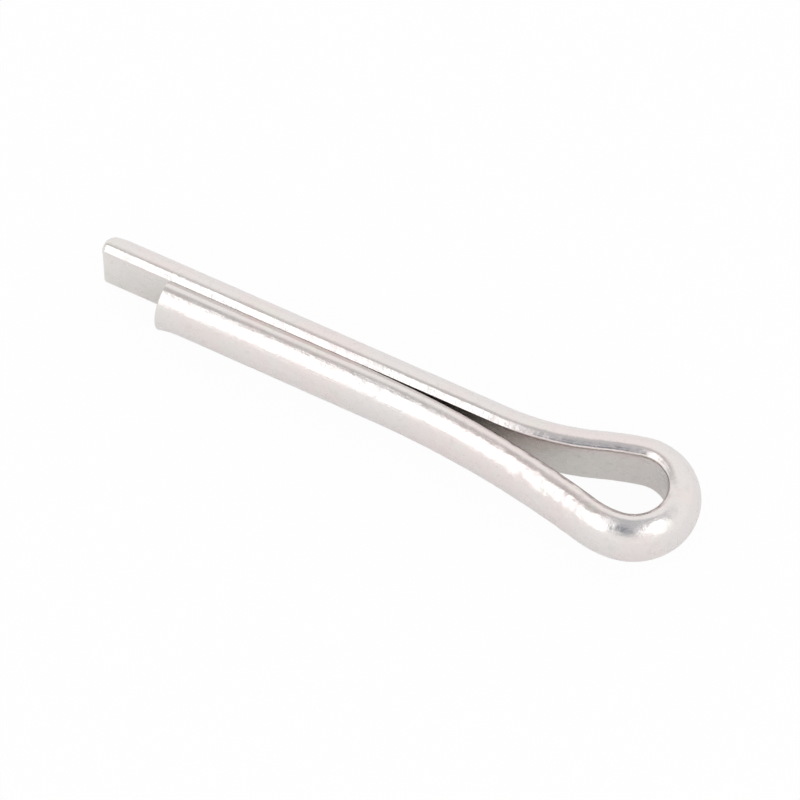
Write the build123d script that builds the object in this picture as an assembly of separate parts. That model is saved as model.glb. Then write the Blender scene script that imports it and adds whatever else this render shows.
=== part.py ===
from build123d import *
from math import atan2, cos, degrees, radians, sin, tan
import os

# Split cotter pin: one length of half-round wire, folded back on itself round an eye.
# Millimetres. +X runs along the shank towards the eye and +Z is up. The pin lies with its legs side by side,
# the long leg on the +Y side and the short leg on the -Y side.
# The origin is on the shank's axis, at the eye end of its round length.

# Half-round wire, with its flat face turned inwards all the way round. A bevel runs along each side of the
# flat, told by its angle from the flat in degrees, with a small round inside it and a larger one outside.
WIRE_WIDTH = 2.64
WIRE_THICKNESS = 1.39
FLAT_WIDTH = 2.00
BEVEL_ANGLE = 50.0
BEVEL_INNER_RADIUS = 0.12
BEVEL_OUTER_RADIUS = 0.28

# Shank: two legs flat to flat. The short leg leans away from the long one towards the eye, in degrees.
LEG_GAP = 0.02
SHORT_LEG_LENGTH = 13.05
LONG_LEG_EXTENSION = 3.30
SHORT_LEG_LEAN = 0.3

# Eye: one round bend, whose two ends are told by their angle from the shank's axis, in degrees.
EYE_CENTRE_X = 8.55
EYE_RADIUS = 1.40
LONG_SIDE_BEND = 104.0
SHORT_SIDE_BEND = 82.7

# Shoulders, which carry on from the eye's bend with a flatter one, and where the necks reach the legs.
LONG_SHOULDER_RADIUS = 13.3
SHORT_SHOULDER_RADIUS = 3.2
LONG_NECK_X = 2.2
SHORT_NECK_X = -2.0

# Sheared tips. The blade rolled the long leg's round back over, and it twisted the short leg's tip about the
# upper edge of its flat, in degrees, so that the lower side stands out.
LONG_TIP_LENGTH = 0.80
LONG_TIP_ROLL = 0.15
LONG_TIP_RIM_RADIUS = 0.11
SHORT_TIP_LENGTH = 0.80
SHORT_TIP_TWIST = 8.0
SHORT_TIP_RIM_RADIUS = 0.08


def wire_section(thickness):
    """Half-round face: x outward from the flat, y up. The flat's sides are bevelled and their edges rounded."""
    bevel_x = cos(radians(180 - BEVEL_ANGLE))
    bevel_y = sin(radians(180 - BEVEL_ANGLE))
    inner_height = FLAT_WIDTH / 2 - BEVEL_INNER_RADIUS * (1 + bevel_x) / bevel_y
    outer_height = WIRE_WIDTH / 2 - BEVEL_OUTER_RADIUS
    outer_depth = (BEVEL_OUTER_RADIUS + (outer_height - FLAT_WIDTH / 2) * bevel_y) / -bevel_x
    inner = Vector(BEVEL_INNER_RADIUS, inner_height)
    outer = Vector(outer_depth, outer_height)
    bevel_normal = Vector(bevel_x, bevel_y)

    depth = thickness - outer_depth
    back_excess = depth**2 + outer_height**2 - BEVEL_OUTER_RADIUS**2
    back_radius = back_excess / (2 * (depth - BEVEL_OUTER_RADIUS))
    back_centre = thickness - back_radius
    spread = degrees(atan2(outer_height, outer_depth - back_centre))
    side = [
        CenterArc(inner, BEVEL_INNER_RADIUS, 180, -BEVEL_ANGLE),
        Line(inner + bevel_normal * BEVEL_INNER_RADIUS, outer + bevel_normal * BEVEL_OUTER_RADIUS),
        CenterArc(outer, BEVEL_OUTER_RADIUS, 180 - BEVEL_ANGLE, spread + BEVEL_ANGLE - 180),
    ]
    flat = Line((0, -inner_height), (0, inner_height))
    back = CenterArc((back_centre, 0), back_radius, spread, -2 * spread)
    return make_face([flat, *side, back, *[mirror(edge, Plane.XZ) for edge in side]])


def neck(leg_end, leg_lean, bend, shoulder_radius):
    """Neck arc that leaves the leg's end tangent to the leg and runs into the shoulder.

    All is told for a leg on the +Y side. Returns the neck's radius, its turn and the shoulder's turn.
    """
    eye_centre = Vector(EYE_CENTRE_X, 0)
    bend_end = Vector(cos(radians(bend)), sin(radians(bend)))
    shoulder_centre = eye_centre + bend_end * (EYE_RADIUS - shoulder_radius)
    leg_normal = Vector(-sin(radians(leg_lean)), cos(radians(leg_lean)))
    reach = leg_end - shoulder_centre
    neck_radius = (reach.dot(reach) - shoulder_radius**2) / (2 * (shoulder_radius - reach.dot(leg_normal)))
    join = leg_end + leg_normal * neck_radius - shoulder_centre
    join_angle = degrees(atan2(join.Y, join.X))
    return neck_radius, join_angle - 90 - leg_lean, join_angle - bend


def wire_path():
    """Middle of the wire's flat face, from the long leg's tip round the eye to the short leg's tip."""
    long_end = Vector(LONG_NECK_X, LEG_GAP / 2)
    long_radius, long_turn, long_shoulder = neck(long_end, 0, LONG_SIDE_BEND, LONG_SHOULDER_RADIUS)
    short_offset = LEG_GAP / 2 + (SHORT_LEG_LENGTH + SHORT_NECK_X) * tan(radians(SHORT_LEG_LEAN))
    short_end = Vector(SHORT_NECK_X, short_offset)
    short_radius, short_turn, short_shoulder = neck(
        short_end, SHORT_LEG_LEAN, SHORT_SIDE_BEND, SHORT_SHOULDER_RADIUS
    )

    long_start = Vector(LONG_TIP_LENGTH - LONG_LEG_EXTENSION - SHORT_LEG_LENGTH, LEG_GAP / 2)
    edges = [Line(long_start, long_end)]
    bends = [
        (long_radius, long_turn),
        (LONG_SHOULDER_RADIUS, -long_shoulder),
        (EYE_RADIUS, -LONG_SIDE_BEND - SHORT_SIDE_BEND),
        (SHORT_SHOULDER_RADIUS, -short_shoulder),
        (short_radius, short_turn),
    ]
    for radius, turn in bends:
        edges.append(JernArc(edges[-1] @ 1, edges[-1] % 1, radius, turn))
    short_length = (SHORT_LEG_LENGTH + SHORT_NECK_X) / cos(radians(SHORT_LEG_LEAN)) - SHORT_TIP_LENGTH
    edges.append(Line(edges[-1] @ 1, edges[-1] @ 1 + (edges[-1] % 1) * short_length))
    return edges


def tip(start, away, outward, length, roll, twist, rim_radius):
    """Sheared end of a leg, with a rounded rim.

    With the square of the distance, the back drops by roll and the section twists about its flat's edge.
    """
    base = Plane(start, x_dir=outward, z_dir=away)
    faces = []
    for share in (0, 0.5, 1):
        turn = Pos(0, FLAT_WIDTH / 2) * Rot(0, 0, twist * share**2) * Pos(0, -FLAT_WIDTH / 2)
        faces.append(base.offset(length * share) * turn * wire_section(WIRE_THICKNESS - roll * share**2))
    blank = loft(faces)
    rim = blank.faces().sort_by(Axis(start, away))[-1].edges()
    return fillet(rim, rim_radius)


def cotter_pin():
    """The whole pin: the bent wire with its two sheared tips."""
    edges = wire_path()
    wire = wire_section(WIRE_THICKNESS)
    long_end = edges[0] @ 0
    along = edges[0] % 0
    across = Vector(0, 0, 1).cross(along)
    bent = sweep(Plane(long_end, x_dir=across, z_dir=along) * wire, path=Wire(edges))
    long_tip = tip(long_end, -along, across, LONG_TIP_LENGTH, LONG_TIP_ROLL, 0, LONG_TIP_RIM_RADIUS)

    short_end = edges[-1] @ 1
    away = edges[-1] % 1
    outward = Vector(0, 0, 1).cross(away)
    short_tip = tip(short_end, away, outward, SHORT_TIP_LENGTH, 0, SHORT_TIP_TWIST, SHORT_TIP_RIM_RADIUS)
    return bent + long_tip + short_tip


os.makedirs("parts", exist_ok=True)
pin = cotter_pin()
pin.label = "cotter_pin"
export_step(pin, "parts/cotter_pin.step")
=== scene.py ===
"""Looks of a split cotter pin: bright plated half-round wire, bent round an eye, lying on a white sweep."""

import logging
from dataclasses import dataclass
from enum import Enum, IntEnum

import bpy
import numpy as np
from mathutils import Matrix, Vector

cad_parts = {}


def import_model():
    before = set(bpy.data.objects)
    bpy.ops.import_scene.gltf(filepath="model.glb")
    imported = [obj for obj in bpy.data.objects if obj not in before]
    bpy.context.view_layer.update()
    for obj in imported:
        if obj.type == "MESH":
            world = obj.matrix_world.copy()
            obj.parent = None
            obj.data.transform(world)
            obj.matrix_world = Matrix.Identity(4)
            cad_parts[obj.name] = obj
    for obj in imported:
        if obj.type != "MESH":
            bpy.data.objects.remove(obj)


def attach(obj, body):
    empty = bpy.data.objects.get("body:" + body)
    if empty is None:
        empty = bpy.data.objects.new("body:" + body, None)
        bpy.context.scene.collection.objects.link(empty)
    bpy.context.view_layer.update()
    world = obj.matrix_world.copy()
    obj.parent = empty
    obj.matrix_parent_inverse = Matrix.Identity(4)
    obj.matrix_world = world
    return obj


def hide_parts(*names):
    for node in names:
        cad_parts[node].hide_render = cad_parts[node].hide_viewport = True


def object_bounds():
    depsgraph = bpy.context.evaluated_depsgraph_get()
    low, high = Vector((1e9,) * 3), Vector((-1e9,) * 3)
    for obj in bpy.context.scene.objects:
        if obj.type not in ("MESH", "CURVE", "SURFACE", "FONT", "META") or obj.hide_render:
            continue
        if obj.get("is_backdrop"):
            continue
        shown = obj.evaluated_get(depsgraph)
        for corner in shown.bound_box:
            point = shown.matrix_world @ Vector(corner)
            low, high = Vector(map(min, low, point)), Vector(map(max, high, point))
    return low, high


LOG = logging.getLogger("cotter_pin")
MM = 0.001

# Places of the colour sockets of a mix node, whose sockets for numbers and vectors have the same names.
MIX_SHARE, MIX_FIRST, MIX_SECOND, MIX_RESULT = 0, 6, 7, 2

Colour = tuple[float, float, float]
Span = tuple[float, float]
Socket = bpy.types.NodeSocket


class Interpolation(Enum):
    """How a map range node eases between its ends."""

    LINEAR = "LINEAR"
    SMOOTH = "SMOOTHSTEP"


class Run(IntEnum):
    """Places of the wire's runs in its line, from the long leg's end to the short leg's end."""

    LONG_LEG = 0
    LONG_NECK = 1
    LONG_SHOULDER = 2
    EYE = 3
    SHORT_SHOULDER = 4
    SHORT_NECK = 5
    SHORT_LEG = 6


@dataclass(frozen=True)
class HalfRoundSection:
    """Section of the wire, in millimetres: a flat with a bevel on each side, and one round back.

    The cells are the pieces that each part of half the ring is cut into.
    """

    width: float = 2.64
    thickness: float = 1.39
    flat_width: float = 2.24
    bevel_angle: float = np.radians(57.0)
    leg_inner_round: float = 0.025
    eye_inner_round: float = 0.26
    outer_round: float = 0.32
    least_round: float = 0.015
    flat_cells: int = 8
    inner_cells: int = 5
    bevel_cells: int = 6
    outer_cells: int = 14
    back_cells: int = 17

    def outline(self, thickness: np.ndarray, inset: np.ndarray,
                inner_round: np.ndarray) -> tuple[np.ndarray, np.ndarray]:
        """Points and normals round the section, one ring for each station.

        The back's radius is the one whose circle touches both outer rounds and reaches the thickness. An
        inset takes its depth off every radius and moves the flat and the bevels in by it, so the ring stays
        parallel to the full one. An inner round touches the flat and the bevel, and never closes to a point.
        One half of the ring is made, from the middle of the flat up round to the middle of the back, and
        mirrored for the other.

        Args:
            thickness: Thickness of the wire at each station.
            inset: How far each ring is drawn in from the full section.
            inner_round: Radius between the flat and the bevels at each station.

        Returns:
            Points (stations, around, 2) as outward and up, and unit normals of the same shape.
        """
        thick = thickness[:, None]
        cut = inset[:, None]
        facing = np.pi - self.bevel_angle
        high = self.width / 2 - self.outer_round
        deep = (self.outer_round + (high - self.flat_width / 2) * np.sin(facing)) / -np.cos(facing)
        depth = thick - deep
        radius = (depth**2 + high**2 - self.outer_round**2) / (2 * (depth - self.outer_round))
        centre = thick - radius
        spread = np.arctan2(high, deep - centre)

        small = np.maximum(inner_round[:, None] - cut, self.least_round)
        stand = small + cut
        inner_high = self.flat_width / 2 - stand * (1 + np.cos(facing)) / np.sin(facing)
        large = self.outer_round - cut
        bevel_from = (stand + small * np.cos(facing), inner_high + small * np.sin(facing))
        bevel_to = (deep + large * np.cos(facing), high + large * np.sin(facing))

        none = np.zeros_like(thick)
        flat = none + np.arange(self.flat_cells) / self.flat_cells
        inner = none + np.pi - self.bevel_angle * np.arange(self.inner_cells) / self.inner_cells
        slope = none + np.arange(self.bevel_cells) / self.bevel_cells
        outer = facing + (spread - facing) * np.arange(self.outer_cells) / self.outer_cells
        back = spread * (1 - np.arange(self.back_cells + 1) / self.back_cells)
        outward = np.concatenate([
            cut + 0 * flat,
            stand + small * np.cos(inner),
            bevel_from[0] + (bevel_to[0] - bevel_from[0]) * slope,
            deep + large * np.cos(outer),
            centre + (radius - cut) * np.cos(back),
        ], axis=1)
        up = np.concatenate([
            inner_high * flat,
            inner_high + small * np.sin(inner),
            bevel_from[1] + (bevel_to[1] - bevel_from[1]) * slope,
            high + large * np.sin(outer),
            (radius - cut) * np.sin(back),
        ], axis=1)
        angle = np.concatenate([np.pi + 0 * flat, inner, facing + 0 * slope, outer, back], axis=1)

        # The mirrored half goes back over every point but the two on the mirror's line.
        other = slice(-2, 0, -1)
        outward = np.concatenate([outward, outward[:, other]], axis=1)
        up = np.concatenate([up, -up[:, other]], axis=1)
        angle = np.concatenate([angle, -angle[:, other]], axis=1)
        points = np.stack([outward, up], axis=2)[:, ::-1]
        normals = np.stack([np.cos(angle), np.sin(angle)], axis=2)[:, ::-1]
        return points, normals

    def girth(self) -> np.ndarray:
        """Distance round the full section to each point, with the whole girth as the last value.

        Returns:
            Distances (around + 1,), from beside the middle of the flat.
        """
        rings, _ = self.outline(np.array([self.thickness]), np.zeros(1), np.array([self.leg_inner_round]))
        ring = rings[0]
        steps = np.linalg.norm(np.diff(np.vstack([ring, ring[:1]]), axis=0), axis=1)
        return np.concatenate([[0.0], np.cumsum(steps)])


@dataclass(frozen=True)
class Stretch:
    """One straight or round stretch of the wire's line, in millimetres and radians."""

    start: float
    length: float
    x: float
    y: float
    heading: float
    curvature: float

    @property
    def middle(self) -> float:
        """Distance of the stretch's middle from the wire's end."""
        return self.start + self.length / 2

    def locate(self, along: np.ndarray) -> tuple[np.ndarray, np.ndarray, np.ndarray]:
        """Places on the stretch: a straight run, or an arc whose heading turns by curvature times distance.

        Args:
            along: Distances from the wire's end.

        Returns:
            x, y and heading at each distance.
        """
        run = along - self.start
        heading = self.heading + self.curvature * run
        if self.curvature == 0:
            return self.x + run * np.cos(heading), self.y + run * np.sin(heading), heading
        x = self.x + (np.sin(heading) - np.sin(self.heading)) / self.curvature
        y = self.y - (np.cos(heading) - np.cos(self.heading)) / self.curvature
        return x, y, heading


@dataclass(frozen=True)
class PinLine:
    """Line of the wire's flat, from the long leg's end round the eye to the short leg's end. Millimetres."""

    leg_gap: float = 0.008
    short_leg_length: float = 13.05
    long_leg_extension: float = 3.30
    short_leg_lean: float = np.radians(0.08)
    eye_centre_x: float = 8.55
    eye_radius: float = 1.40
    long_side_bend: float = np.radians(104.0)
    short_side_bend: float = np.radians(82.7)
    long_shoulder_radius: float = 13.3
    short_shoulder_radius: float = 3.2
    long_neck_x: float = 2.2
    short_neck_x: float = -3.0

    def neck(self, leg_end: np.ndarray, lean: float, bend: float,
             shoulder: float) -> tuple[float, float, float]:
        """Neck that leaves the leg tangent to it and runs into the shoulder, told for a leg on the +Y side.

        The neck's centre stands off the leg's end by its radius, and off the shoulder's centre by both radii.

        Args:
            leg_end: Where the leg ends, x and y.
            lean: Angle between the leg and the shank's axis.
            bend: Angle of the eye's bend on this side, from the shank's axis.
            shoulder: Radius of the shoulder.

        Returns:
            The neck's radius, its turn and the shoulder's turn.
        """
        bend_end = np.array([np.cos(bend), np.sin(bend)])
        centre = np.array([self.eye_centre_x, 0.0]) + bend_end * (self.eye_radius - shoulder)
        normal = np.array([-np.sin(lean), np.cos(lean)])
        reach = leg_end - centre
        radius = (reach @ reach - shoulder**2) / (2 * (shoulder - reach @ normal))
        join = leg_end + normal * radius - centre
        join_angle = np.arctan2(join[1], join[0])
        return radius, join_angle - np.pi / 2 - lean, join_angle - bend

    def stretches(self) -> list[Stretch]:
        """The line's stretches in the order of Run, each starting where the last one ends."""
        long_end = np.array([self.long_neck_x, self.leg_gap / 2])
        long_radius, long_turn, long_shoulder = self.neck(
            long_end, 0.0, self.long_side_bend, self.long_shoulder_radius)
        short_run = self.short_leg_length + self.short_neck_x
        short_end = np.array([self.short_neck_x, self.leg_gap / 2 + short_run * np.tan(self.short_leg_lean)])
        short_radius, short_turn, short_shoulder = self.neck(
            short_end, self.short_leg_lean, self.short_side_bend, self.short_shoulder_radius)

        long_run = self.long_neck_x + self.short_leg_length + self.long_leg_extension
        eye_turn = self.long_side_bend + self.short_side_bend
        moves = [
            (long_run, 0.0),
            (long_radius * long_turn, 1 / long_radius),
            (self.long_shoulder_radius * long_shoulder, -1 / self.long_shoulder_radius),
            (self.eye_radius * eye_turn, -1 / self.eye_radius),
            (self.short_shoulder_radius * short_shoulder, -1 / self.short_shoulder_radius),
            (short_radius * short_turn, 1 / short_radius),
            (short_run / np.cos(self.short_leg_lean), 0.0),
        ]
        x, y, heading, start = self.long_neck_x - long_run, self.leg_gap / 2, 0.0, 0.0
        found = []
        for length, curvature in moves:
            stretch = Stretch(start, length, x, y, heading, curvature)
            found.append(stretch)
            start = start + length
            x, y, heading = (float(value) for value in stretch.locate(np.float64(start)))
        return found


@dataclass(frozen=True)
class ShearedTip:
    """End of a leg, in millimetres.

    Over its length the back drops by roll, and the lower side stands out by drag. The rim is rounded.
    """

    length: float
    rim: float
    roll: float = 0.0
    drag: float = 0.0

    def share(self, to_end: np.ndarray) -> np.ndarray:
        """Share of the tip's change at each distance from the end: the square of the way into the tip."""
        return np.clip(1 - to_end / self.length, 0, 1) ** 2

    def inset(self, to_end: np.ndarray) -> np.ndarray:
        """How far the rim's quarter round draws the section in: the rim's radius less the circle's height."""
        into = np.clip(self.rim - to_end, 0, self.rim)
        return self.rim - np.sqrt(self.rim**2 - into**2)


@dataclass(frozen=True)
class WireGrain:
    """Relief of the wire's surface, as smooth noise of seeded values on a grid. Millimetres."""

    seed: int
    depth: float
    cell_along: float
    cells_around: int

    def relief(self, along: np.ndarray, around: np.ndarray) -> np.ndarray:
        """Height of the relief: seeded values at the cells' corners, joined by a quintic ease both ways.

        Args:
            along: Distance along the wire (stations,).
            around: Share of the way round the section (around,), 0 to 1, which closes on itself.

        Returns:
            Heights (stations, around).
        """
        rows = int(np.ceil(along.max() / self.cell_along)) + 2
        values = np.random.default_rng(self.seed).uniform(-1, 1, (rows, self.cells_around))
        u = along / self.cell_along
        v = around * self.cells_around
        row = np.floor(u).astype(int)
        column = np.floor(v).astype(int)
        ease_u = self.ease(u - row)[:, None]
        ease_v = self.ease(v - column)[None, :]
        left = (column % self.cells_around)[None, :]
        right = ((column + 1) % self.cells_around)[None, :]
        row = row[:, None]
        near = values[row, left] * (1 - ease_v) + values[row, right] * ease_v
        far = values[row + 1, left] * (1 - ease_v) + values[row + 1, right] * ease_v
        return self.depth * (near * (1 - ease_u) + far * ease_u)

    @staticmethod
    def ease(t: np.ndarray) -> np.ndarray:
        """Quintic ease, flat at both ends."""
        return t**3 * (t * (6 * t - 15) + 10)


@dataclass(frozen=True)
class Nodes:
    """Short forms for building a node tree."""

    tree: bpy.types.NodeTree

    def add(self, kind: str, **values: object) -> bpy.types.Node:
        """A new node of that kind, with its properties set."""
        node = self.tree.nodes.new(kind)
        for name, value in values.items():
            setattr(node, name, value)
        return node

    def link(self, source: Socket, target: Socket) -> None:
        """Joins two sockets."""
        self.tree.links.new(source, target)

    def maths(self, operation: str, first: Socket | float, second: Socket | float) -> Socket:
        """Result of a math node on two sockets or numbers."""
        node = self.add("ShaderNodeMath", operation=operation)
        for socket, value in zip(node.inputs, (first, second)):
            if isinstance(value, Socket):
                self.link(value, socket)
            else:
                socket.default_value = value
        return node.outputs[0]

    def span(self, value: Socket, band: Span, to: Span = (0.0, 1.0),
             ease: Interpolation = Interpolation.SMOOTH) -> Socket:
        """Value moved from its band into the range to, and held at its ends.

        Args:
            value: The number to move.
            band: The values that are spread over the whole range.
            to: What the band's low and high ends become.
            ease: How the value runs between the ends.

        Returns:
            The moved number.
        """
        node = self.add("ShaderNodeMapRange", interpolation_type=ease.value)
        self.link(value, node.inputs["Value"])
        node.inputs["From Min"].default_value, node.inputs["From Max"].default_value = band
        node.inputs["To Min"].default_value, node.inputs["To Max"].default_value = to
        return node.outputs["Result"]

    def window(self, value: Socket, band: Span, soft: float) -> Socket:
        """One inside the band and zero outside, with soft edges."""
        low, high = band
        rise = self.span(value, (low - soft, low + soft))
        fall = self.span(value, (high - soft, high + soft), (1.0, 0.0))
        return self.maths("MULTIPLY", rise, fall)

    def blend(self, share: Socket, first: Socket | Colour, second: Socket | Colour) -> Socket:
        """Colour mixed from the first to the second by share."""
        node = self.add("ShaderNodeMix", data_type="RGBA")
        self.link(share, node.inputs[MIX_SHARE])
        for place, value in ((MIX_FIRST, first), (MIX_SECOND, second)):
            if isinstance(value, Socket):
                self.link(value, node.inputs[place])
            else:
                node.inputs[place].default_value = (*value, 1.0)
        return node.outputs[MIX_RESULT]

    def bump(self, height: Socket, distance: float, under: Socket | None = None) -> Socket:
        """Normal of a bump.

        Args:
            height: Height of the bump, 0 to 1.
            distance: What a height of 1 stands for, in metres.
            under: Normal of the surface that the bump lies on, where it isn't the mesh's own.

        Returns:
            The bumped normal.
        """
        node = self.add("ShaderNodeBump")
        node.inputs["Strength"].default_value = 1.0
        node.inputs["Distance"].default_value = distance
        self.link(height, node.inputs["Height"])
        if under is not None:
            self.link(under, node.inputs["Normal"])
        return node.outputs["Normal"]


@dataclass(frozen=True)
class Noise:
    """A noise texture, by its cells in each unit of its place and its detail."""

    scale: float
    detail: float

    def height(self, nodes: Nodes, place: Socket) -> Socket:
        """Height of the noise at that place."""
        node = nodes.add("ShaderNodeTexNoise")
        node.inputs["Scale"].default_value = self.scale
        node.inputs["Detail"].default_value = self.detail
        nodes.link(place, node.inputs["Vector"])
        return node.outputs[0]


@dataclass(frozen=True)
class BrightZincPlate:
    """Bright zinc plating over drawn wire, with faint warm and green tints, and a painted reflection on the
    flat.

    A band is the part of a noise's heights over which its effect grows from none to whole. Heights, and the
    reach and fade of the flat's painted reflection round the section, are in millimetres.
    """

    name: str = "bright_zinc_plate"
    neutral: Colour = (0.82, 0.785, 0.772)
    warm: Colour = (0.84, 0.77, 0.755)
    green: Colour = (0.80, 0.795, 0.745)
    # Painted reflection: the flat's lighter warm and greenish tones stand in for what the flat mirrors.
    flat_reflection_warm: Colour = (0.84, 0.80, 0.775)
    flat_reflection_green: Colour = (0.80, 0.782, 0.75)
    stain: Colour = (0.62, 0.60, 0.575)

    patches: Noise = Noise(scale=420.0, detail=3.0)
    warm_band: Span = (0.42, 0.60)
    flat_reflection_band: Span = (0.40, 0.58)
    tints: Noise = Noise(scale=900.0, detail=2.0)
    green_band: Span = (0.56, 0.74)
    green_share: float = 0.6
    specks: Noise = Noise(scale=3200.0, detail=4.0)
    stain_band: Span = (0.53, 0.72)
    stain_share: float = 0.2
    # Where the flat's painted reflection gives way to the back's colour, round the section.
    flat_reflection_reach: float = 1.0
    flat_reflection_fade: float = 0.12

    dulling: Noise = Noise(scale=1600.0, detail=4.0)
    dull_band: Span = (0.35, 0.65)
    roughness: Span = (0.20, 0.30)

    grain: Noise = Noise(scale=9000.0, detail=3.0)
    grain_height: float = 0.006
    mottle: Noise = Noise(scale=2600.0, detail=3.0)
    mottle_height: float = 0.012
    streaks: Noise = Noise(scale=1.0, detail=4.0)
    streak_scale: tuple[float, float, float] = (0.5, 12.0, 1.0)
    streak_height: float = 0.005

    def material(self, girth: float) -> bpy.types.Material:
        """Builds the material, whose noise lies in the pin's own space or on the wire's map.

        Args:
            girth: Distance round the section in millimetres, where the wire's map ends.

        Returns:
            The plating.
        """
        material = bpy.data.materials.new(self.name)
        material.use_nodes = True
        nodes = Nodes(material.node_tree)
        shader = material.node_tree.nodes["Principled BSDF"]
        shader.inputs["Metallic"].default_value = 1.0
        place = nodes.add("ShaderNodeTexCoord").outputs["Object"]
        wire = nodes.add("ShaderNodeUVMap", uv_map="wire").outputs["UV"]
        nodes.link(self.tint(nodes, place, wire, girth), shader.inputs["Base Color"])
        dulled = nodes.span(self.dulling.height(nodes, place), self.dull_band, self.roughness,
                            Interpolation.LINEAR)
        nodes.link(dulled, shader.inputs["Roughness"])
        nodes.link(self.relief(nodes, place, wire), shader.inputs["Normal"])
        return material

    def tint(self, nodes: Nodes, place: Socket, wire: Socket, girth: float) -> Socket:
        """Colour of the plating: warm patches and green tints on the back, and a painted reflection on the
        flat.

        Args:
            nodes: The material's tree.
            place: Place in the pin's own space.
            wire: Place on the wire's map.
            girth: Distance round the section in millimetres.

        Returns:
            The colour, with faint stains.
        """
        patches = self.patches.height(nodes, place)
        base = nodes.blend(nodes.span(patches, self.warm_band), self.neutral, self.warm)
        greening = nodes.span(self.tints.height(nodes, place), self.green_band, (0.0, self.green_share))
        back = nodes.blend(greening, base, self.green)
        # Painted reflection on the flat: its own lighter tones, mottled by the random patches, in place of
        # what it mirrors.
        flat = nodes.blend(nodes.span(patches, self.flat_reflection_band), self.flat_reflection_green, self.flat_reflection_warm)
        around = nodes.add("ShaderNodeSeparateXYZ")
        nodes.link(wire, around.inputs[0])
        back_band = (self.flat_reflection_reach, girth - self.flat_reflection_reach)
        on_back = nodes.window(around.outputs["Y"], back_band, self.flat_reflection_fade)
        stains = nodes.span(self.specks.height(nodes, place), self.stain_band, (0.0, self.stain_share))
        return nodes.blend(stains, nodes.blend(on_back, flat, back), self.stain)

    def relief(self, nodes: Nodes, place: Socket, wire: Socket) -> Socket:
        """Normal of the plating: a fine grain, a mottle over it, and streaks along the wire over both."""
        stretched = nodes.add("ShaderNodeMapping")
        stretched.inputs["Scale"].default_value = self.streak_scale
        nodes.link(wire, stretched.inputs["Vector"])
        streaks = self.streaks.height(nodes, stretched.outputs["Vector"])
        grain = nodes.bump(self.grain.height(nodes, place), self.grain_height * MM)
        mottle = nodes.bump(self.mottle.height(nodes, place), self.mottle_height * MM, grain)
        return nodes.bump(streaks, self.streak_height * MM, mottle)


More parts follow.
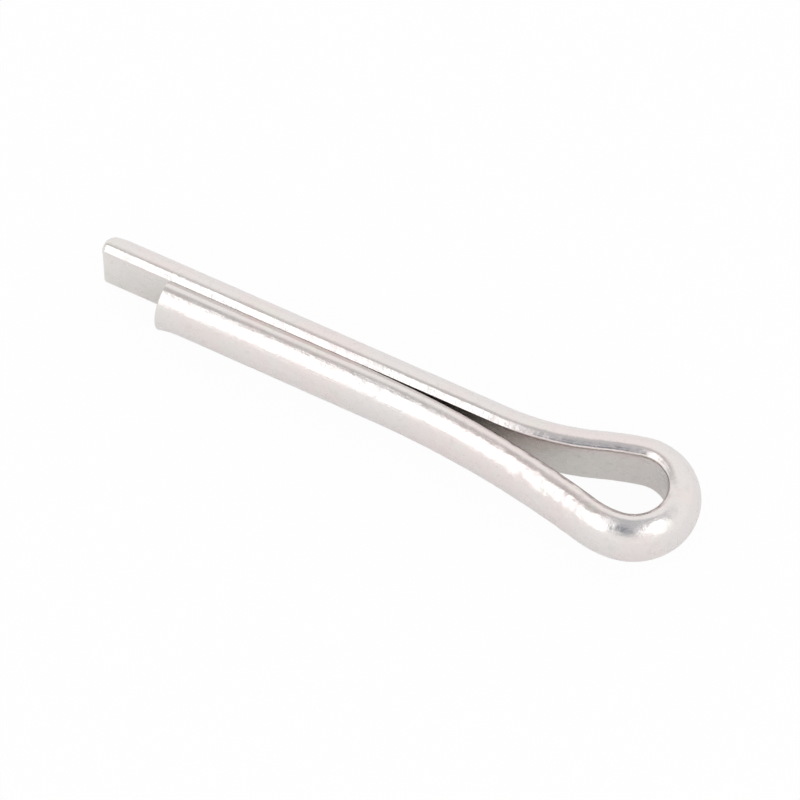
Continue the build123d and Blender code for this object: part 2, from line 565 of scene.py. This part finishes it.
@dataclass(frozen=True)
class CotterPin:
    """The pin: one length of half-round wire carried along its line, with two sheared tips. Millimetres.

    The surface's relief grows to its full height at relief_from off the flat's plane. The bends' effects fade
    over bend_run, and on the short leg's side that fade reaches past the neck by past_neck of it. Rings whose
    distances agree to same_decimals are one ring.
    """

    section: HalfRoundSection = HalfRoundSection()
    line: PinLine = PinLine()
    long_tip: ShearedTip = ShearedTip(length=0.80, rim=0.20, roll=0.15)
    short_tip: ShearedTip = ShearedTip(length=1.10, rim=0.06, drag=0.30)
    finish: BrightZincPlate = BrightZincPlate()
    drawn_lines: WireGrain = WireGrain(seed=11, depth=0.0015, cell_along=5.0, cells_around=84)
    waviness: WireGrain = WireGrain(seed=12, depth=0.004, cell_along=1.1, cells_around=9)
    bend_peel: WireGrain = WireGrain(seed=13, depth=0.004, cell_along=0.24, cells_around=22)
    neck_wrinkles: WireGrain = WireGrain(seed=14, depth=0.012, cell_along=0.24, cells_around=30)
    relief_from: float = 0.1
    bend_run: float = 2.0
    past_neck: float = 0.5
    leg_step: float = 0.07
    bend_step: float = 0.06
    eye_step: float = 0.025
    rim_steps: int = 8
    cap_rings: int = 4
    same_decimals: int = 9

    def stations(self) -> np.ndarray:
        """Distances of the rings along the wire: closer round the eye, and by equal angles round the rims."""
        stretches = self.line.stretches()
        total = stretches[-1].start + stretches[-1].length
        quarter = 1 - np.cos(np.linspace(0, np.pi / 2, self.rim_steps, endpoint=False))
        found = [self.long_tip.rim * quarter]
        steps = {Run.LONG_LEG: self.leg_step, Run.EYE: self.eye_step, Run.SHORT_LEG: self.leg_step}
        for run, stretch in zip(Run, stretches):
            low = max(stretch.start, self.long_tip.rim)
            high = min(stretch.start + stretch.length, total - self.short_tip.rim)
            cells = int(np.ceil((high - low) / steps.get(run, self.bend_step)))
            found.append(np.linspace(low, high, cells, endpoint=False))
        found.append(total - self.short_tip.rim * quarter[::-1])
        found.append(np.array([total - self.short_tip.rim]))
        return np.unique(np.round(np.concatenate(found), self.same_decimals))

    def frames(self, along: np.ndarray) -> tuple[np.ndarray, np.ndarray, np.ndarray]:
        """Line's x, y and heading at each station."""
        x, y, heading = (np.zeros_like(along) for _ in range(3))
        for stretch in self.line.stretches():
            here = along >= stretch.start
            x[here], y[here], heading[here] = stretch.locate(along[here])
        return x, y, heading

    def bent(self, along: np.ndarray) -> np.ndarray:
        """One where the wire was bent round the eye and zero on the legs, with an even fade in between."""
        stretches = self.line.stretches()
        rise = (along - stretches[Run.LONG_NECK].start) / self.bend_run
        fall = (stretches[Run.SHORT_LEG].start - along) / self.bend_run
        return np.clip(rise, 0, 1) * np.clip(fall + self.past_neck, 0, 1)

    def relief(self, along: np.ndarray) -> np.ndarray:
        """Height of the surface's relief.

        It is the sum of drawn lines, slow waves, a peel on the bends, and wrinkles from the short leg's
        shoulder to the middle of its neck.

        Args:
            along: Distances of the rings along the wire.

        Returns:
            Heights (stations, around).
        """
        girth = self.section.girth()
        share = girth[:-1] / girth[-1]
        stretches = self.line.stretches()
        peel = self.bend_peel.relief(along, share) * self.bent(along)[:, None]
        into = np.clip((along - stretches[Run.SHORT_SHOULDER].start) / self.bend_run, 0, 1)
        out = np.clip((stretches[Run.SHORT_NECK].middle - along) / self.bend_run, 0, 1)
        wrinkles = self.neck_wrinkles.relief(along, share) * (into * out)[:, None]
        return self.drawn_lines.relief(along, share) + self.waviness.relief(along, share) + peel + wrinkles

    def rings(self) -> tuple[np.ndarray, np.ndarray]:
        """The wire's rings: the section at each station, carried along the line, outward by its normal.

        The relief leaves the flat true, so that the legs don't cross where they touch. A tip's drag grows
        with the cube of the way down from the section's top.

        Returns:
            Points (stations, around, 3) in millimetres, and the stations' distances.
        """
        along = self.stations()
        to_end = along[-1] - along
        long_share = self.long_tip.share(along)
        short_share = self.short_tip.share(to_end)
        rolled = self.long_tip.roll * long_share + self.short_tip.roll * short_share
        thickness = self.section.thickness - rolled
        drag = self.long_tip.drag * long_share + self.short_tip.drag * short_share
        inset = self.long_tip.inset(along) + self.short_tip.inset(to_end)
        bent = self.bent(along)
        inner_round = self.section.leg_inner_round * (1 - bent) + self.section.eye_inner_round * bent
        points, normals = self.section.outline(thickness, inset, inner_round)
        off_flat = np.clip(points[:, :, 0] / self.relief_from, 0, 1)
        points = points + normals * (self.relief(along) * off_flat)[:, :, None]
        x, y, heading = self.frames(along)
        down = 0.5 - points[:, :, 1] / self.section.width
        outward = points[:, :, 0] + drag[:, None] * down**3
        placed = np.stack([
            x[:, None] - np.sin(heading)[:, None] * outward,
            y[:, None] + np.cos(heading)[:, None] * outward,
            points[:, :, 1],
        ], axis=2)
        return placed, along

    def caps(self, ring: np.ndarray) -> tuple[np.ndarray, np.ndarray]:
        """A flat end's rings, drawn in evenly from the rim's last ring to its middle, and that middle.

        Args:
            ring: The rim's last ring (around, 3).

        Returns:
            Rings (cap rings - 1, around, 3) from the outside in, and the middle point.
        """
        middle = ring.mean(axis=0)
        shares = (1 - np.arange(1, self.cap_rings) / self.cap_rings)[:, None, None]
        return middle + (ring - middle)[None] * shares, middle

    @staticmethod
    def faces(rows: int, around: int) -> tuple[np.ndarray, np.ndarray]:
        """Faces of the mesh: quads from each ring to the next, and a fan round each end's middle point.

        The points are numbered ring by ring, with the two middles last.

        Args:
            rows: Number of rings, with those of the caps.
            around: Number of points in each ring.

        Returns:
            Quads (cells, 4) and triangles (2 * around, 3).
        """
        row, column = np.meshgrid(np.arange(rows - 1), np.arange(around), indexing="ij")
        following = (column + 1) % around
        quads = np.stack([row * around + column, row * around + following,
                          (row + 1) * around + following, (row + 1) * around + column], axis=2)
        edge = np.arange(around)
        after = (edge + 1) % around
        start_fan = np.stack([after, edge, np.full(around, rows * around)], axis=1)
        last_row = (rows - 1) * around
        end_fan = np.stack([last_row + edge, last_row + after, np.full(around, rows * around + 1)], axis=1)
        return quads.reshape(-1, 4), np.concatenate([start_fan, end_fan])

    def wire_map(self, along: np.ndarray) -> np.ndarray:
        """Map of the faces' corners in millimetres: distance along the wire, and round its section.

        A cap's quads keep the distance of their end, and so do the fans, which lie on the map's edge.

        Args:
            along: Distances of the rings along the wire.

        Returns:
            Places on the map (corners, 2), in the faces' order.
        """
        girth = self.section.girth()
        cap_rows = self.cap_rings - 1
        lengthwise = np.concatenate([np.full(cap_rows, along[0]), along, np.full(cap_rows, along[-1])])
        around = len(girth) - 1
        row, column = np.meshgrid(np.arange(len(lengthwise) - 1), np.arange(around), indexing="ij")
        quad_u = lengthwise[np.stack([row, row, row + 1, row + 1], axis=2)]
        quad_v = girth[np.stack([column, column + 1, column + 1, column], axis=2)]
        fan_u = np.repeat([along[0], along[-1]], 3 * around)
        quads = np.stack([quad_u, quad_v], axis=3).reshape(-1, 2)
        return np.concatenate([quads, np.stack([fan_u, np.zeros_like(fan_u)], axis=1)])

    def build(self) -> bpy.types.Object:
        """Builds the wire's closed mesh, with a UV map that follows the wire.

        Returns:
            The pin's object, at the origin.
        """
        rings, along = self.rings()
        first_cap, first_middle = self.caps(rings[0])
        last_cap, last_middle = self.caps(rings[-1])
        grid = np.concatenate([first_cap[::-1], rings, last_cap])
        rows, around = grid.shape[:2]
        vertices = np.concatenate([grid.reshape(-1, 3), [first_middle, last_middle]]) * MM
        quads, fans = self.faces(rows, around)
        corners = np.concatenate([quads.ravel(), fans.ravel()])
        sizes = np.repeat([quads.shape[1], fans.shape[1]], [len(quads), len(fans)])
        starts = np.concatenate([[0], np.cumsum(sizes)[:-1]])

        mesh = bpy.data.meshes.new("pin_wire")
        mesh.vertices.add(len(vertices))
        mesh.vertices.foreach_set("co", vertices.ravel().astype(np.float32))
        mesh.loops.add(len(corners))
        mesh.loops.foreach_set("vertex_index", corners.astype(np.int32))
        mesh.polygons.add(len(sizes))
        mesh.polygons.foreach_set("loop_start", starts.astype(np.int32))
        mesh.update(calc_edges=True)
        mesh.polygons.foreach_set("use_smooth", np.ones(len(sizes), bool))
        layer = mesh.uv_layers.new(name="wire")
        layer.data.foreach_set("uv", self.wire_map(along).ravel().astype(np.float32))
        mesh.validate()

        pin = bpy.data.objects.new("pin_wire", mesh)
        bpy.context.scene.collection.objects.link(pin)
        LOG.info("pin_wire: %d rings of %d points", rows, around)
        return pin

    def dress(self, pin: bpy.types.Object) -> None:
        """Gives the pin its plating, sets it on the root body, and hides the CAD part that it replaces."""
        pin.data.materials.append(self.finish.material(float(self.section.girth()[-1])))
        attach(pin, "root")
        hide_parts("cotter_pin")


@dataclass(frozen=True)
class LightPanel:
    """A panel of the light tent, as a window of directions.

    Sideways is the direction's part along +X. Over is its angle over the pin in degrees, from the horizon
    behind the pin, up across the top, down to the horizon in front. Soft is the edges' softness sideways.
    """

    sideways: Span
    over: Span
    colour: Colour
    soft: float


@dataclass(frozen=True)
class Studio:
    """White sweep and a pale light tent, with the grey, dark and bright panels that the wire mirrors.

    Each panel lies over those before it. Its edges over the pin are soft by soft_degrees for each unit of its
    softness sideways.
    """

    floor_half: float = 1.5
    floor_colour: Colour = (0.96, 0.96, 0.96)
    seen_glow: float = 0.95
    mirrored_glow: float = 0.30
    tent: Colour = (0.97, 0.96, 0.95)
    soft_degrees: float = 60.0
    panels: tuple[LightPanel, ...] = (
        # Grey top over the legs, with a darker strip along it.
        LightPanel((-1.1, -0.17), (72.0, 119.0), (0.76, 0.74, 0.73), 0.12),
        LightPanel((-1.1, -0.17), (98.0, 116.0), (0.50, 0.48, 0.47), 0.09),
        # Grey top over the eye, and the dark gap that its front mirrors.
        LightPanel((-0.20, 0.44), (80.0, 146.0), (0.55, 0.56, 0.58), 0.07),
        LightPanel((-0.02, 0.44), (125.0, 148.0), (0.16, 0.19, 0.23), 0.05),
        # Grey strip behind the light on the right.
        LightPanel((0.40, 0.85), (72.0, 94.0), (0.52, 0.52, 0.54), 0.07),
        # Lights in front of the legs: a soft one, and a bright one beside the gap.
        LightPanel((-0.95, -0.20), (118.0, 158.0), (1.08, 1.08, 1.08), 0.05),
        LightPanel((-0.50, -0.20), (118.0, 158.0), (1.9, 1.9, 1.9), 0.05),
        # Bright light on the right of the gap.
        LightPanel((0.49, 0.88), (88.0, 134.0), (1.9, 1.9, 1.9), 0.06),
    )

    def build_floor(self, height: float) -> bpy.types.Object:
        """Lays the floor at that height: a flat sheet, facing up."""
        corners = np.array([[-1, -1], [1, -1], [1, 1], [-1, 1]]) * self.floor_half
        mesh = bpy.data.meshes.new("white_sweep")
        mesh.from_pydata([(x, y, height) for x, y in corners.tolist()], [], [(0, 1, 2, 3)])
        floor = bpy.data.objects.new("white_sweep", mesh)
        bpy.context.scene.collection.objects.link(floor)
        mesh.materials.append(self.floor_material())
        floor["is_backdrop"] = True
        LOG.info("white_sweep: %.1f m wide", 2 * self.floor_half)
        return floor

    def floor_material(self) -> bpy.types.Material:
        """White paper that keeps the shadow, and glows to the camera and a little in reflections."""
        material = bpy.data.materials.new("white_paper")
        material.use_nodes = True
        nodes = Nodes(material.node_tree)
        shader = material.node_tree.nodes["Principled BSDF"]
        shader.inputs["Base Color"].default_value = (*self.floor_colour, 1.0)
        shader.inputs["Roughness"].default_value = 1.0
        shader.inputs["Specular IOR Level"].default_value = 0.0
        glow = nodes.add("ShaderNodeEmission")
        path = nodes.add("ShaderNodeLightPath")
        seen = nodes.maths("MULTIPLY", path.outputs["Is Camera Ray"], self.seen_glow)
        mirrored = nodes.maths("MULTIPLY", path.outputs["Is Glossy Ray"], self.mirrored_glow)
        mix = nodes.add("ShaderNodeMixShader")
        nodes.link(nodes.maths("MAXIMUM", seen, mirrored), mix.inputs[0])
        nodes.link(shader.outputs[0], mix.inputs[1])
        nodes.link(glow.outputs[0], mix.inputs[2])
        nodes.link(mix.outputs[0], material.node_tree.nodes["Material Output"].inputs["Surface"])
        return material

    def light(self) -> None:
        """Builds the tent: its colour by direction, and plain white where the camera looks past the floor."""
        world = bpy.data.worlds.new("light_tent")
        bpy.context.scene.world = world
        world.use_nodes = True
        nodes = Nodes(world.node_tree)
        direction = nodes.add("ShaderNodeSeparateXYZ")
        nodes.link(nodes.add("ShaderNodeTexCoord").outputs["Generated"], direction.inputs[0])
        sideways, behind, up = direction.outputs
        over = nodes.maths("MULTIPLY", nodes.maths("ARCTAN2", up, behind), 180 / np.pi)
        colour: Socket | Colour = self.tent
        for panel in self.panels:
            across = nodes.window(sideways, panel.sideways, panel.soft)
            above = nodes.window(over, panel.over, panel.soft * self.soft_degrees)
            colour = nodes.blend(nodes.maths("MULTIPLY", across, above), colour, panel.colour)
        tent = world.node_tree.nodes["Background"]
        nodes.link(colour, tent.inputs["Color"])
        white = nodes.add("ShaderNodeBackground")
        white.inputs["Color"].default_value = (1.0, 1.0, 1.0, 1.0)
        mix = nodes.add("ShaderNodeMixShader")
        nodes.link(nodes.add("ShaderNodeLightPath").outputs["Is Camera Ray"], mix.inputs[0])
        nodes.link(tent.outputs[0], mix.inputs[1])
        nodes.link(white.outputs[0], mix.inputs[2])
        nodes.link(mix.outputs[0], world.node_tree.nodes["World Output"].inputs["Surface"])
        LOG.info("light_tent: %d panels", len(self.panels))


@dataclass(frozen=True)
class PhotoCamera:
    """Camera at the photograph's angle, set by where the eye's centre falls. Metres, pixels and radians."""

    azimuth: float = np.radians(28.777)
    elevation: float = np.radians(56.5)
    roll: float = np.radians(-0.874)
    eye_centre: tuple[float, float, float] = (PinLine.eye_centre_x * MM, 0.0, 0.0)
    eye_pixel: tuple[float, float] = (633.10, 498.88)
    frame_pixels: float = 800.0
    focal_pixels: float = 6990.17
    distance: float = 285.3 * MM
    sensor: float = 36.0
    clip: Span = (0.01, 10.0)

    def place(self) -> bpy.types.Object:
        """Sets the camera so that the eye's centre falls on its pixel, at that distance along the view."""
        data = bpy.data.cameras.new("photo_camera")
        data.sensor_width = self.sensor
        data.lens = self.focal_pixels * self.sensor / self.frame_pixels
        data.clip_start, data.clip_end = self.clip
        level = Vector((np.cos(self.azimuth), np.sin(self.azimuth), 0.0))
        back = Vector((np.sin(self.azimuth) * np.cos(self.elevation),
                       -np.cos(self.azimuth) * np.cos(self.elevation), np.sin(self.elevation)))
        steep = back.cross(level)
        right = level * np.cos(self.roll) + steep * np.sin(self.roll)
        up = steep * np.cos(self.roll) - level * np.sin(self.roll)
        aside = (self.eye_pixel[0] - self.frame_pixels / 2) * self.distance / self.focal_pixels
        above = -(self.eye_pixel[1] - self.frame_pixels / 2) * self.distance / self.focal_pixels
        place = Vector(self.eye_centre) - right * aside - up * above + back * self.distance
        turned = Matrix((right, up, back)).transposed().to_4x4()
        camera = bpy.data.objects.new("photo_camera", data)
        camera.matrix_world = Matrix.Translation(place) @ turned
        bpy.context.scene.collection.objects.link(camera)
        bpy.context.scene.camera = camera
        LOG.info("photo_camera: lens %.1f mm", data.lens)
        return camera


def plain_box(bounds: object) -> list:
    return [[float(value) for value in corner] for corner in bounds]


def main() -> None:
    """Builds the pin, the studio and the camera."""
    logging.basicConfig(level=logging.INFO)
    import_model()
    solid_box = plain_box(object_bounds())
    pin = CotterPin()
    pin.dress(pin.build())
    studio = Studio()
    studio.build_floor(solid_box[0][2])
    studio.light()
    PhotoCamera().place()
    bpy.context.scene.view_settings.view_transform = "Standard"


if __name__ == "__main__":
    main()
